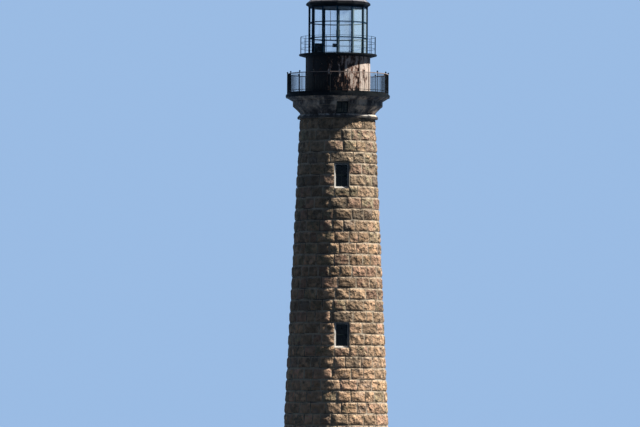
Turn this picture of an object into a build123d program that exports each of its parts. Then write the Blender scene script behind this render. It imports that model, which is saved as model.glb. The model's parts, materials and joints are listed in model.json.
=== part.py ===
from build123d import *

import os
from math import cos, radians, sin, sqrt, tan

# A granite lighthouse: a tapering round shaft of coursed stone, a flared stone cornice, an iron watch
# room and a twelve-sided lantern, each with a railed gallery around it. Millimetres, +Z up, origin on
# the tower's axis at ground level. The entrance and the window column face -Y.

# Shaft of granite courses
course = 680
base_course = 860
storey_courses = (14, 14, 8)
base_radius = 3445
top_radius = 2262
plinth_radius = 3700
plinth_chamfer = 90
bore_radius = 1600

# Floors, each let into a groove in the wall
floor_thickness = 150
floor_bearing = 120
floor_gap = 2
ground_floor_top = 200
service_courses = 2

# Windows and entrance
window_width = 900
window_height = 1500
window_head_courses = (18, 4)
window_recess = 110
frame_depth = 100
frame_stile = 110
pane_thickness = 12
small_window_width = 730
small_window_height = 700
small_window_recess = 60
small_frame_stile = 60
door_width = 950
door_courses = 2
door_recess = 350
door_thickness = 80
door_frame_stile = 90
door_frame_depth = 140
jamb_width = 260
sill_courses = 3

# Belt course and flared cornice
belt_height = 260
belt_radius = 2420
belt_lip = 120
belt_wash_radius = 2290
neck_radius = 2250
neck_height = 60
fascia_radius = 2700
flare_height = 430
flare_hollow = 16
fascia_height = 300
bed_radius = 3080
bed_height = 230

# Main gallery
deck_radius = 3120
deck_height = 180
rail_bays = 18
rail_turn = 4.7
rail_radius = 3030
rail_top = 1265
rail_post_radius = 24
knob_radius = 48
knob_neck = 12
kick_height = 120
kick_thickness = 14
top_rail_size = 44
lower_rail_size = 30
lower_rail_height = 200
baluster_size = 16
balusters_per_bay = 9

# Watch room of iron plates under cover strips
watch_radius = 1940
watch_height = 2260
watch_plate = 40
watch_sides = 12
watch_turn = 4.7
strip_width = 60
strip_proud = 16
strip_inside = 40
gallery_door_width = 700
gallery_door_height = 1650
gallery_door_step = 120
gallery_door_lap = 30
gallery_door_plate = 8
seat_gap = 0.3
vent_width = 230
vent_height = 380
vent_depth = 45
vent_lift = 100

# Lens gallery
lens_deck_radius = 2330
lens_deck_edge = 90
lens_deck_height = 180
lens_deck_soffit_radius = 1990
lens_rail_turn = -4.7
lens_rail_radius = 2270
lens_rail_top = 1050
lens_post_radius = 15
lens_rail_size = 20
lens_rail_rows = 3

# Lantern of twelve glazed sides
lantern_sides = 12
lantern_turn = -8
lantern_radius = 1760
lantern_sill_height = 30
lantern_sill_width = 120
pane_rows = 3
pane_pitch = 937
mullion_width = 90
mullion_proud = 30
mullion_depth = 120
bar_height = 56
bar_depth = 60
lantern_pane_thickness = 12

# Roof
ceiling_thickness = 40
ceiling_lap = 40
eave_radius = 1940
eave_height = 150
eave_lip = 70
eave_width = 240
roof_slope = 40
roof_plate = 20
roof_crown_radius = 150
ball_radius = 280
rod_radius = 16
rod_seat_radius = 34
rod_length = 720
rod_point = 90

# Fittings that show through the lantern glass
stand_radius = 45
stand_foot_radius = 150
stand_foot_height = 20
stand_height = 1110
beacon_radius = 120
beacon_height = 420
beacon_dome = 50
control_box_size = (280, 200, 210)
control_box_height = 450
equipment_box_size = (720, 500, 660)
equipment_box_offset = 60
equipment_box_clearance = 30
antenna_radius = 20
antenna_clamp_radius = 28
antenna_clamp_height = 90
antenna_length = 1760
antenna_bay = -9

storey_base = [base_course]
for count in storey_courses:
    storey_base.append(storey_base[-1] + count * course)
belt_bottom = storey_base[-1]
belt_top = belt_bottom + belt_height
fascia_bottom = belt_top + neck_height + flare_height
fascia_top = fascia_bottom + fascia_height
cornice_top = fascia_top + bed_height
deck_top = cornice_top + deck_height
watch_top = deck_top + watch_height
lens_deck_top = watch_top + lens_deck_height
glass_bottom = lens_deck_top + lantern_sill_height
glass_top = glass_bottom + pane_rows * pane_pitch
ceiling_top = glass_top + ceiling_thickness
eave_top = ceiling_top + eave_height
roof_crown = eave_top + (eave_radius - roof_crown_radius) * tan(radians(roof_slope))
service_floor_top = belt_bottom - service_courses * course
floor_tops = (storey_base[1], storey_base[2], service_floor_top)
reach = 2 * plinth_radius
cut_margin = 1
whole_turn = 360
quarter_turn = whole_turn / 4
around = whole_turn / lantern_sides
rail_bay = whole_turn / rail_bays
watch_side = whole_turn / watch_sides


def block(x0, x1, y0, y1, z0, z1):
    """A box between two corners."""
    middle = Pos((x0 + x1) / 2, (y0 + y1) / 2, (z0 + z1) / 2)
    return middle * Box(x1 - x0, y1 - y0, z1 - z0)


def disc(radius, z0, z1):
    """An upright cylinder on the tower's axis."""
    return Pos(0, 0, (z0 + z1) / 2) * Cylinder(radius, z1 - z0)


def turned(shape, angle):
    """A shape made at the front, -Y, turned about the tower's axis towards +X."""
    return Rot(0, 0, angle) * shape


def lathed(*outline):
    """A closed outline of radius and height, spun about the tower's axis."""
    return revolve(make_face(Plane.XZ * Polyline(*outline, close=True)), Axis.Z)


def polygon_prism(radius, z0, z1, taper_radius=None):
    """A prism on the lantern's polygon, tapered where a second radius is given."""
    low = Plane.XY.offset(z0) * RegularPolygon(radius, lantern_sides, rotation=lantern_turn)
    if taper_radius is None:
        return extrude(low, z1 - z0)
    high = Plane.XY.offset(z1) * RegularPolygon(taper_radius, lantern_sides, rotation=lantern_turn)
    return loft([low.face(), high.face()])


def shaft_radius(z):
    """Radius of the shaft's outer face at a height."""
    return base_radius + (top_radius - base_radius) * z / belt_bottom


def solids_of(*shapes):
    """Every solid of some shapes, in one list."""
    return [solid for shape in shapes for solid in shape.solids()]


def save(name, *shapes):
    """Write one node's solids to its file."""
    found = solids_of(*shapes)
    export_step(found[0] if len(found) == 1 else Compound(children=found), f"parts/{name}.step")


def window_bottoms():
    """Sill height of each shaft window, its head on a course line."""
    return [belt_bottom - count * course - window_height for count in window_head_courses]


def window_face(bottom):
    """Distance from the axis to the front of a shaft window's frame."""
    return shaft_radius(bottom + window_height / 2) - window_recess


def door_face():
    """Distance from the axis to the front of the entrance frame."""
    return shaft_radius(ground_floor_top + door_height() / 2) - door_recess


def door_height():
    """Height of the doorway, its head on a course line."""
    return base_course + door_courses * course - ground_floor_top


def doorway():
    """The cut for the entrance, from outside the plinth to the bore."""
    half = door_width / 2
    return block(-half, half, -reach, 0, ground_floor_top, ground_floor_top + door_height())


def opening_stones(width, low, high, foot):
    """The place of an opening's dressed stones at the front, and its jambs, lintel and sill in it."""
    half = width / 2
    wide = half + jamb_width
    jambs = [block(side - wide, side - half, -reach, 0, low, high) for side in (0, half + wide)]
    caps = [block(-wide, wide, -reach, 0, high, high + course)]
    if foot < low:
        caps.append(block(-wide, wide, -reach, 0, foot, low))
    return block(-wide, wide, -reach, 0, foot, high + course), jambs, caps


def storey_openings(storey):
    """The openings of a storey as pairs of angle and stones: the entrance, or two windows."""
    if storey == 0:
        head = ground_floor_top + door_height()
        return [(0, opening_stones(door_width, base_course, head, base_course))]
    bottom = window_bottoms()[storey - 1]
    head = bottom + window_height
    stones = opening_stones(window_width, bottom, head, head - sill_courses * course)
    return [(0, stones), (2 * quarter_turn, stones)]


def make_plinth():
    """The projecting base course, weathered at its top, cut by the doorway."""
    outline = (
        (bore_radius, 0),
        (plinth_radius, 0),
        (plinth_radius, base_course - plinth_chamfer),
        (plinth_radius - plinth_chamfer, base_course),
        (bore_radius, base_course),
    )
    save("plinth", lathed(*outline) - doorway())
    save("ground_floor", disc(bore_radius - seat_gap, 0, ground_floor_top))


def shaft_storey(low, high, floor_top):
    """One storey of the wall, with the groove that its floor is let into."""
    wall = lathed((0, low), (shaft_radius(low), low), (shaft_radius(high), high), (0, high))
    wall -= disc(bore_radius, low - cut_margin, high + cut_margin)
    return wall - disc(bore_radius + floor_bearing, floor_top - floor_thickness, floor_top)


def make_shaft():
    """The coursed wall in three storeys, each of two halves, the stones of its openings, the floors."""
    right = block(0, reach, -reach, reach, 0, belt_bottom)
    jamb_stones, cap_stones = [], []
    for storey, name in enumerate(("shaft_lower", "shaft_middle", "shaft_upper")):
        ring = shaft_storey(storey_base[storey], storey_base[storey + 1], floor_tops[storey])
        wall = ring
        for angle, (place, jambs, caps) in storey_openings(storey):
            wall -= turned(place, angle)
            jamb_stones += [ring & turned(jamb, angle) for jamb in jambs]
            cap_stones += [ring & turned(cap, angle) for cap in caps]
        save(f"{name}_right", wall & right)
        save(f"{name}_left", wall & turned(right, 2 * quarter_turn))
    save("jamb_stones", *jamb_stones)
    save("lintel_and_sill_stones", *cap_stones)
    for name, floor_top in zip(("middle_floor", "upper_floor", "service_floor"), floor_tops):
        radius = bore_radius + floor_bearing - floor_gap
        save(name, disc(radius, floor_top - floor_thickness, floor_top))


def framed_light(width, height, stile, bottom, face):
    """A window's frame and pane, standing in its opening at the front."""
    half = width / 2
    frame = block(-half, half, -face, -face + frame_depth, bottom, bottom + height)
    inside = (-half + stile, half - stile)
    light = (bottom + stile, bottom + height - stile)
    frame -= block(*inside, -face - cut_margin, -face + frame_depth + cut_margin, *light)
    middle = -face + frame_depth / 2
    pane = block(*inside, middle - pane_thickness / 2, middle + pane_thickness / 2, *light)
    return frame, pane


def make_windows():
    """Frames and panes of the four shaft windows and the four small windows in the cornice."""
    frames, panes = [], []
    for bottom in window_bottoms():
        face = window_face(bottom)
        frame, pane = framed_light(window_width, window_height, frame_stile, bottom, face)
        frames += [frame, turned(frame, 2 * quarter_turn)]
        panes += [pane, turned(pane, 2 * quarter_turn)]
    save("shaft_window_frames", *frames)
    save("shaft_window_panes", *panes)
    face = neck_radius - small_window_recess
    frame, pane = framed_light(small_window_width, small_window_height, small_frame_stile, belt_top, face)
    quarters = [quarter_turn * side for side in range(4)]
    save("cornice_window_frames", *[turned(frame, angle) for angle in quarters])
    save("cornice_window_panes", *[turned(pane, angle) for angle in quarters])


def make_entrance():
    """The entrance's frame, fitted to the reveal, and its leaf inside the frame."""
    half = door_width / 2
    face = door_face()
    low = ground_floor_top
    high = low + door_height()
    inside = half - door_frame_stile
    head = high - door_frame_stile
    frame = block(-half, half, -face, -face + door_frame_depth, low, high)
    through = (-face - cut_margin, -face + door_frame_depth + cut_margin)
    frame -= block(-inside, inside, *through, low - cut_margin, head)
    leaf_front = -face + (door_frame_depth - door_thickness) / 2
    leaf = block(-inside, inside, leaf_front, leaf_front + door_thickness, low, head)
    save("entrance_frame", frame)
    save("entrance_door", leaf)


def cornice_ring():
    """Neck, hollow flare, fascia and bed mould of the cornice as one ring."""
    neck_top = belt_top + neck_height
    lower = Polyline((bore_radius, belt_top), (neck_radius, belt_top), (neck_radius, neck_top))
    flare = SagittaArc((neck_radius, neck_top), (fascia_radius, fascia_bottom), flare_hollow)
    upper = Polyline(
        (fascia_radius, fascia_bottom),
        (fascia_radius, fascia_top),
        (bed_radius, cornice_top),
        (bore_radius, cornice_top),
        (bore_radius, belt_top),
    )
    outline = Plane.XZ * Curve(children=[lower, flare, upper])
    return revolve(make_face(outline.edges()), Axis.Z)


def make_cornice():
    """The belt course with its sloped top, and the cornice, a quarter to each window."""
    belt = lathed(
        (bore_radius, belt_bottom),
        (belt_radius, belt_bottom),
        (belt_radius, belt_bottom + belt_lip),
        (belt_wash_radius, belt_top),
        (bore_radius, belt_top),
    )
    save("belt_course", belt)
    half = small_window_width / 2
    cut = block(-half, half, -reach, 0, belt_top, belt_top + small_window_height)
    quarter = turned(block(0, reach, -reach, 0, belt_top, cornice_top), -quarter_turn / 2)
    piece = (cornice_ring() & quarter) - cut
    for side, name in enumerate(("front", "right", "back", "left")):
        save(f"cornice_{name}", turned(piece, quarter_turn * side))
    save("main_gallery_deck", disc(deck_radius, cornice_top, deck_top))


def make_main_railing():
    """Posts with knobs, and between them panels of balusters over a kick plate."""
    knob_height = rail_top + knob_neck + knob_radius
    post = Pos(0, -rail_radius, deck_top + knob_height / 2) * Cylinder(rail_post_radius, knob_height)
    post += Pos(0, -rail_radius, deck_top + knob_height) * Sphere(knob_radius)
    save("main_railing_posts", *[turned(post, rail_turn + rail_bay * n) for n in range(rail_bays)])

    middle = rail_radius * cos(radians(rail_bay / 2))
    half = rail_radius * sin(radians(rail_bay / 2)) - rail_post_radius

    def bar(size, z0, z1):
        return block(-half, half, -middle - size / 2, -middle + size / 2, z0, z1)

    top = deck_top + rail_top
    lower_rail = deck_top + lower_rail_height
    panel = bar(top_rail_size, top - top_rail_size, top)
    panel += bar(lower_rail_size, lower_rail, lower_rail + lower_rail_size)
    panel += bar(kick_thickness, deck_top, deck_top + kick_height)
    step = 2 * half / (balusters_per_bay + 1)
    size = baluster_size / 2
    low, high = deck_top + kick_height / 2, top - top_rail_size / 2
    for n in range(balusters_per_bay):
        x = -half + step * (n + 1)
        panel += block(x - size, x + size, -middle - size, -middle + size, low, high)
    angles = [rail_turn + rail_bay * (n + 0.5) for n in range(rail_bays)]
    save("main_railing_panels", *[turned(panel, angle) for angle in angles])


def gallery_door_angle():
    """The back plate of the watch room that holds the gallery door."""
    return watch_turn + watch_side * (watch_sides // 2 - 0.5)


def curved_panel(outer, inner, width, z0, z1, angle):
    """A curved sheet of a given width across, centred on an angle."""
    sheet = disc(outer, z0, z1) - disc(inner, z0, z1)
    return turned(sheet & block(-width / 2, width / 2, -reach, 0, z0, z1), angle)


def make_watch_room():
    """Curved iron plates between upright cover strips, with a door at the back."""
    shell = disc(watch_radius, deck_top, watch_top)
    shell -= disc(watch_radius - watch_plate, deck_top, watch_top)
    half = strip_width / 2
    slot = block(-half, half, -reach, 0, deck_top, watch_top)
    outer = -watch_radius - strip_proud
    inner = -watch_radius + watch_plate + strip_inside
    strip = block(-half, half, outer, inner, deck_top, watch_top)
    angles = [watch_turn + watch_side * n for n in range(watch_sides)]
    for angle in angles:
        shell -= turned(slot, angle)
    door_low = deck_top + gallery_door_step
    door_high = door_low + gallery_door_height
    half = gallery_door_width / 2
    opening = block(-half, half, -reach, 0, door_low, door_high)
    shell -= turned(opening, gallery_door_angle())
    save("watch_room_plates", shell)
    save("watch_room_strips", *[turned(strip, angle) for angle in angles])
    leaf_inner = watch_radius + seat_gap
    leaf = curved_panel(
        leaf_inner + gallery_door_plate,
        leaf_inner,
        gallery_door_width + 2 * gallery_door_lap,
        door_low - gallery_door_lap,
        door_high + gallery_door_lap,
        gallery_door_angle(),
    )
    save("watch_room_door", leaf)


def make_vents():
    """Four rounded vent hoods low on the cover strips, two in front and two behind."""
    face = watch_radius + strip_proud
    outline = SlotOverall(vent_height, vent_width, rotation=90)
    middle = deck_top + vent_lift + vent_height / 2
    hood = extrude(Plane.XZ.offset(face) * Pos(0, middle) * outline, vent_depth)
    strips = (-1, 0, watch_sides // 2 - 1, watch_sides // 2)
    save("watch_room_vents", *[turned(hood, watch_turn + watch_side * n) for n in strips])


def make_lens_gallery():
    """The upper deck, its underside tapered to the wall, and a light three-bar railing."""
    edge_bottom = lens_deck_top - lens_deck_edge
    deck = lathed(
        (0, watch_top),
        (lens_deck_soffit_radius, watch_top),
        (lens_deck_radius, edge_bottom),
        (lens_deck_radius, lens_deck_top),
        (0, lens_deck_top),
    )
    save("lens_gallery_deck", deck)

    top = lens_deck_top + lens_rail_top
    middle_height = lens_deck_top + lens_rail_top / 2
    post = Pos(0, -lens_rail_radius, middle_height) * Cylinder(lens_post_radius, lens_rail_top)
    posts = [turned(post, lens_rail_turn + rail_bay * n) for n in range(rail_bays)]
    save("lens_railing_posts", *posts)
    middle = lens_rail_radius * cos(radians(rail_bay / 2))
    half = lens_rail_radius * sin(radians(rail_bay / 2)) - lens_post_radius
    near, far = -middle - lens_rail_size / 2, -middle + lens_rail_size / 2
    rail_tops = [lens_deck_top + lens_rail_top * (n + 1) / lens_rail_rows for n in range(lens_rail_rows)]
    rails = [block(-half, half, near, far, z - lens_rail_size, z) for z in rail_tops]
    angles = [lens_rail_turn + rail_bay * (n + 0.5) for n in range(rail_bays)]
    save("lens_railing_bars", *[turned(rail, angle) for angle in angles for rail in rails])
    clamp = Pos(0, -middle, top + antenna_clamp_height / 2)
    mast = Pos(0, -middle, top + antenna_length / 2)
    antenna = clamp * Cylinder(antenna_clamp_radius, antenna_clamp_height)
    antenna += mast * Cylinder(antenna_radius, antenna_length)
    save("antenna", turned(antenna, lens_rail_turn + rail_bay * (antenna_bay + 0.5)))


def make_lantern():
    """Twelve mullions on a sill, two glazing bars and three panes to each side."""
    sill = polygon_prism(lantern_radius + mullion_proud, lens_deck_top, glass_bottom)
    cut = (lens_deck_top - cut_margin, glass_bottom + cut_margin)
    sill -= polygon_prism(lantern_radius - lantern_sill_width, *cut)
    save("lantern_sill", sill)

    flat = cos(radians(around / 2))
    wall = polygon_prism(lantern_radius + mullion_proud, glass_bottom, glass_top)
    inner = lantern_radius + mullion_proud - mullion_depth
    wall -= polygon_prism(inner, glass_bottom - cut_margin, glass_top + cut_margin)
    half = lantern_radius * sin(radians(around / 2)) - mullion_width / 2
    sides = [lantern_turn + around * (n + 0.5) for n in range(lantern_sides)]
    opening = block(-half, half, -reach, 0, glass_bottom, glass_top)
    for angle in sides:
        wall -= turned(opening, angle)
    save("lantern_mullions", wall)

    face = lantern_radius * flat
    middle = -face + bar_depth / 2
    front, rear = middle - lantern_pane_thickness / 2, middle + lantern_pane_thickness / 2
    lift = bar_height / 2
    bars, panes = [], []
    for row in range(pane_rows):
        low = glass_bottom + row * pane_pitch
        high = low + pane_pitch
        if row:
            bars.append(block(-half, half, -face, -face + bar_depth, low - lift, low + lift))
            low += lift
        if row < pane_rows - 1:
            high -= lift
        panes.append(block(-half, half, front, rear, low, high))
    save("lantern_bars", *[turned(bar, angle) for angle in sides for bar in bars])
    save("lantern_panes", *[turned(pane, angle) for angle in sides for pane in panes])


def make_roof():
    """A flat ceiling, a moulded eave and a twelve-sided roof with a ball and a rod."""
    save("lantern_ceiling", polygon_prism(lantern_radius + ceiling_lap, glass_top, ceiling_top))
    eave = polygon_prism(lantern_radius + ceiling_lap, ceiling_top, eave_top - eave_lip, eave_radius)
    eave += polygon_prism(eave_radius, eave_top - eave_lip, eave_top)
    eave -= polygon_prism(eave_radius - eave_width, ceiling_top - cut_margin, eave_top + cut_margin)
    save("lantern_eave", eave)

    roof = polygon_prism(eave_radius, eave_top, roof_crown, roof_crown_radius)
    inner_radius = eave_radius - roof_plate / sin(radians(roof_slope))
    inner_top = roof_crown - roof_plate
    inner_crown = inner_radius - (inner_top - eave_top) / tan(radians(roof_slope))
    roof -= polygon_prism(inner_radius, eave_top, inner_top, inner_crown)
    save("lantern_roof", roof)

    flat = cos(radians(around / 2)) * roof_crown_radius
    centre = roof_crown + sqrt(ball_radius**2 - flat**2)
    ball_top = centre + sqrt(ball_radius**2 - rod_seat_radius**2)
    ball = Pos(0, 0, centre) * Sphere(ball_radius)
    save("vent_ball", ball & disc(ball_radius + cut_margin, roof_crown, ball_top))
    rod = lathed(
        (0, ball_top),
        (rod_radius, ball_top),
        (rod_radius, ball_top + rod_length - rod_point),
        (0, ball_top + rod_length),
    )
    save("lightning_rod", rod)


def make_fittings():
    """The small beacon on its stand, its control box, and an equipment box."""
    floor = lens_deck_top
    stand = disc(stand_foot_radius, floor, floor + stand_foot_height)
    stand += disc(stand_radius, floor, floor + stand_height)
    save("beacon_stand", stand)
    beacon_low = floor + stand_height
    beacon_high = beacon_low + beacon_height
    beacon = lathed(
        (0, beacon_low),
        (beacon_radius, beacon_low),
        (beacon_radius, beacon_high - beacon_dome),
        (beacon_radius - beacon_dome, beacon_high),
        (0, beacon_high),
    )
    save("beacon", beacon)
    across, deep, tall = control_box_size
    right = -stand_radius - seat_gap
    low = floor + control_box_height
    save("control_box", block(right - across, right, -deep / 2, deep / 2, low, low + tall))
    across, deep, tall = equipment_box_size
    y = equipment_box_offset
    sill_inside = (lantern_radius - lantern_sill_width) * cos(radians(around / 2))
    left = -sqrt((sill_inside - equipment_box_clearance) ** 2 - (y + deep / 2) ** 2)
    box = block(left, left + across, y - deep / 2, y + deep / 2, floor, floor + tall)
    save("equipment_box", box)


os.makedirs("parts", exist_ok=True)
make_plinth()
make_shaft()
make_windows()
make_entrance()
make_cornice()
make_main_railing()
make_watch_room()
make_vents()
make_lens_gallery()
make_lantern()
make_roof()
make_fittings()
print("belt", belt_bottom, "deck", deck_top, "lens deck", lens_deck_top, "eave", eave_top)
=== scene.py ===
import json
import math
import random

import bmesh
import bpy
from mathutils import Matrix, Vector


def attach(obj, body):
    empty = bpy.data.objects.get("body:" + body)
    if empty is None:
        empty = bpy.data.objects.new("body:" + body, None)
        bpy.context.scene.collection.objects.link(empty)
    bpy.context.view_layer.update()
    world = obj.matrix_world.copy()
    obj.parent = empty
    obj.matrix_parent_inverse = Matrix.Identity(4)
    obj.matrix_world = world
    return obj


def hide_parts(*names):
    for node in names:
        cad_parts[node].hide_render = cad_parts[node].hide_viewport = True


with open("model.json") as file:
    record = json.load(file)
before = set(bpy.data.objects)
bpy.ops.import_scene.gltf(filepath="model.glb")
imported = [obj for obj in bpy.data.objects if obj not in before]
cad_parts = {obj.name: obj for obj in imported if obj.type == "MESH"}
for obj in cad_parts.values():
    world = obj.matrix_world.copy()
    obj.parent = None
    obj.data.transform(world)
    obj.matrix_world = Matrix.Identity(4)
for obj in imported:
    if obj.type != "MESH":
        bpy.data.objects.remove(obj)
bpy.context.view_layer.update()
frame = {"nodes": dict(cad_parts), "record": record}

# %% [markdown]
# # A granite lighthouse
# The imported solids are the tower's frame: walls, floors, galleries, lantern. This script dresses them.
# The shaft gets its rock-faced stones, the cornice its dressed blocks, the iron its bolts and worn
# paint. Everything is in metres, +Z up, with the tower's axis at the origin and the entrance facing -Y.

nodes = frame["nodes"]
subparts = frame["record"]["subparts"]
scene = bpy.context.scene
chance = random.Random(1871)
full_turn = 2 * math.pi


# %% Two helpers that the whole script uses
def around(angle, radius, height):
    """A spot at an angle around the tower from its front, a distance from the axis and a height."""
    return radius * math.sin(angle), -radius * math.cos(angle), height


def stood(name, data):
    """A new object of the scene, at the origin, unturned and unscaled."""
    thing = bpy.data.objects.new(name, data)
    scene.collection.objects.link(thing)
    return thing


# %% [markdown]
# ## Wires
# A node tree is a formula drawn as boxes. It could be built box by box, but the formula would be lost
# among the boxes. So a wire is a socket that can be added and multiplied like a number, and each sum puts
# its own Math node in the tree. That works in a material and in a Geometry Nodes tree alike, because
# both take the same Math node.


# %% A wire, and the nodes that make one
class Wire:
    """A socket of a tree that can be worked with like a number."""

    def __init__(self, tree, socket):
        self.tree, self.socket = tree, socket

    def sum(self, operation, *others):
        return put(self.tree, "ShaderNodeMath", [self, *others], operation=operation)

    def __add__(self, other):
        return self.sum("ADD", other)

    def __sub__(self, other):
        return self.sum("SUBTRACT", other)

    def __mul__(self, other):
        return self.sum("MULTIPLY", other)

    def __truediv__(self, other):
        return self.sum("DIVIDE", other)

    __radd__, __rmul__ = __add__, __mul__

    def __rsub__(self, other):
        return self * -1 + other

    def __rtruediv__(self, other):
        return put(self.tree, "ShaderNodeMath", [other, self], operation="DIVIDE")

    def lesser(self, other):
        return self.sum("MINIMUM", other)

    def greater(self, other):
        return self.sum("MAXIMUM", other)

    def ramp(self, low, high, start=0.0, end=1.0):
        """Goes from start to end while this wire goes from low to high, and stays there outside."""
        return put(self.tree, "ShaderNodeMapRange", [self, low, high, start, end])

    def band(self, low, high, soft):
        """1 between two levels and 0 outside them, each change as wide as soft."""
        return self.ramp(low, low + soft) * self.ramp(high, high + soft, 1, 0)

    def parts(self):
        """The three numbers of a vector."""
        split = put(self.tree, "ShaderNodeSeparateXYZ", [self]).socket.node
        return [Wire(self.tree, socket) for socket in split.outputs]


def feed(socket, value):
    """Link a wire to a socket, or set a plain value on it."""
    if isinstance(value, Wire):
        value.tree.links.new(value.socket, socket)
    elif value is not None:
        socket.default_value = value


def put(tree, kind, inputs=(), out=0, **settings):
    """A new node with its inputs fed in order, or by name from a dictionary. Gives one output."""
    node = tree.nodes.new(kind)
    for name, value in settings.items():
        setattr(node, name, value)
    pairs = inputs.items() if isinstance(inputs, dict) else enumerate(inputs)
    for key, value in pairs:
        feed(node.inputs[key], value)
    return Wire(tree, node.outputs[out]) if node.outputs else None


def distance(east, north):
    """How far a spot is from the tower's axis."""
    return (east * east + north * north).sum("SQRT")


# %% [markdown]
# ## The camera
# The photograph is taken from far off with a long lens, from a little above the ground, and tilts up so
# that the roof's top and the tower's foot are out of the picture. A short lens close by would fit the
# height too, but it would bend the shaft and show more of the galleries' undersides. The bearing is read
# from the window column, which stands a little right of the middle, and the camera's height from its own
# level in the picture, just above the lower edge.

# %% Camera
focal_length, film_width = 312.9, 36.0  # millimetres
axis_distance, camera_height, far_clip = 333.8, 7.1, 3000.0
camera_bearing = math.radians(-6.5)
look_left, look_up = math.radians(0.177), math.radians(2.158)
tower_lean = math.radians(0.30)

lens = bpy.data.cameras.new("long_lens")
lens.lens, lens.sensor_width, lens.clip_end = focal_length, film_width, far_clip
camera = stood("camera", lens)
scene.camera = camera
stand = Vector(around(camera_bearing, axis_distance, 0))
ahead = Matrix.Rotation(look_left, 3, "Z") @ (-stand).normalized()
right = ahead.cross(Vector((0, 0, 1))).normalized()
ahead = (ahead * math.cos(look_up) + Vector((0, 0, math.sin(look_up)))).normalized()
above = right.cross(ahead)
right, above = (
    right * math.cos(tower_lean) + above * math.sin(tower_lean),
    above * math.cos(tower_lean) - right * math.sin(tower_lean),
)
turn = Matrix((right, above, -ahead)).transposed().to_4x4()
camera.matrix_world = Matrix.Translation(stand + Vector((0, 0, camera_height))) @ turn
print("camera at", [round(v, 2) for v in camera.matrix_world.translation])

# %% [markdown]
# ## Light
# One soft key lamp stands high on the right, as the light does in the photograph, so that the left of
# the shaft and the underside of the galleries fall in shade. Several area lamps could do it, but so tall
# a tower needs light that is even from foot to roof, which a sun lamp gives. The world is an even fill
# for light that bounces, and a pale plain background where the camera, gloss or glass looks at it.

# %% Key lamp and world
key_bearing, key_height = math.radians(75), math.radians(51)
key_strength, key_softness = 5.4, math.radians(2.5)
key_colour = (1.0, 0.95, 0.88)
fill_strength = 0.10
fill_colour = (0.34, 0.56, 1.0, 1)
background_colour = (0.325, 0.50, 0.775, 1)


def looked_at(tree):
    """1 where the camera, a gloss or glass looks at a surface, and 0 where its light only bounces."""
    looks = ("Is Camera Ray", "Is Glossy Ray", "Is Transmission Ray")
    camera_look, gloss_look, glass_look = (put(tree, "ShaderNodeLightPath", out=name) for name in looks)
    return camera_look.greater(gloss_look).greater(glass_look)


lamp = bpy.data.lights.new("key", "SUN")
lamp.energy, lamp.angle, lamp.color = key_strength, key_softness, key_colour
to_key = Vector(around(key_bearing, math.cos(key_height), math.sin(key_height)))
stood("key", lamp).rotation_euler = to_key.to_track_quat("Z", "Y").to_euler()

world = bpy.data.worlds.new("studio")
scene.world = world
world.use_nodes = True
studio = world.node_tree
studio.nodes.clear()
fill = put(studio, "ShaderNodeBackground", [fill_colour, fill_strength])
backdrop = put(studio, "ShaderNodeBackground", [background_colour, 1.0])
mixed = put(studio, "ShaderNodeMixShader", [looked_at(studio), fill, backdrop])
put(studio, "ShaderNodeOutputWorld", [mixed])
scene.view_settings.view_transform = "Standard"
print("key lamp", key_strength, "fill", fill_strength)

# %% [markdown]
# ## Finishes
# Each finish is one material made of nodes: a few named colours, noise at the size of the real grain,
# and what weather does to it. All patterns are read from Object coordinates, in metres, so that they
# have their true size and stay put when the tower is seen from another side. In a ramp, the first two
# numbers say from where to where the noise counts, and the last two what comes of it.


# %% Helpers for the finishes
finishes = {}


def paint(red, green, blue):
    """A colour as it shows on a screen, 0 to 255, turned into light."""
    light = [v / 255 / 12.92 if v < 11 else ((v / 255 + 0.055) / 1.055) ** 2.4 for v in (red, green, blue)]
    return (*light, 1)


def new_finish(slot, name=None, **sockets):
    """A slot's material, with constants set on its shader. Gives the shader and the Object coordinates."""
    finish = finishes[slot] = bpy.data.materials.new(name or slot)
    finish.use_nodes = True
    shader = finish.node_tree.nodes["Principled BSDF"]
    for socket, value in sockets.items():
        shader.inputs[socket.replace("_", " ").title().replace("Ior", "IOR")].default_value = value
    return shader, put(finish.node_tree, "ShaderNodeTexCoord", out="Object")


def grain(spot, size, detail=2.0, rough=0.5):
    """Noise from 0 to 1 with lumps of about the given size in metres."""
    row = {"Vector": spot, "Scale": 1 / size, "Detail": detail, "Roughness": rough}
    return put(spot.tree, "ShaderNodeTexNoise", row)


def runs(spot, squeeze, size, detail=2.0, rough=0.5):
    """The same noise drawn out into upright runs, which are longer the smaller the squeeze is."""
    row = {"Vector": spot, "Scale": (1, 1, squeeze)}
    return grain(put(spot.tree, "ShaderNodeMapping", row), size, detail, rough)


def blend(share, low, high):
    """One colour over another, by a share from 0 to 1."""
    return put(share.tree, "ShaderNodeMix", {0: share, 6: low, 7: high}, out=2, data_type="RGBA")


def strip(share, *stops):
    """A run of colours, evenly spread over 0 to 1."""
    ramp = put(share.tree, "ShaderNodeValToRGB", [share])
    table = ramp.socket.node.color_ramp
    while len(table.elements) < len(stops):
        table.elements.new(0.5)
    for n, (element, colour) in enumerate(zip(table.elements, stops)):
        element.position = n / (len(stops) - 1)
        element.color = colour
    return ramp


def relief(shader, height, depth):
    """Fine relief that the mesh doesn't hold, from a height of 0 to 1, depth metres deep."""
    bump = put(height.tree, "ShaderNodeBump", {"Height": height, "Distance": depth})
    feed(shader.inputs["Normal"], bump)


def coat(shader, colour, roughness=None):
    """Feed the colour, and the roughness where it varies."""
    feed(shader.inputs["Base Color"], colour)
    feed(shader.inputs["Roughness"], roughness)


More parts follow.
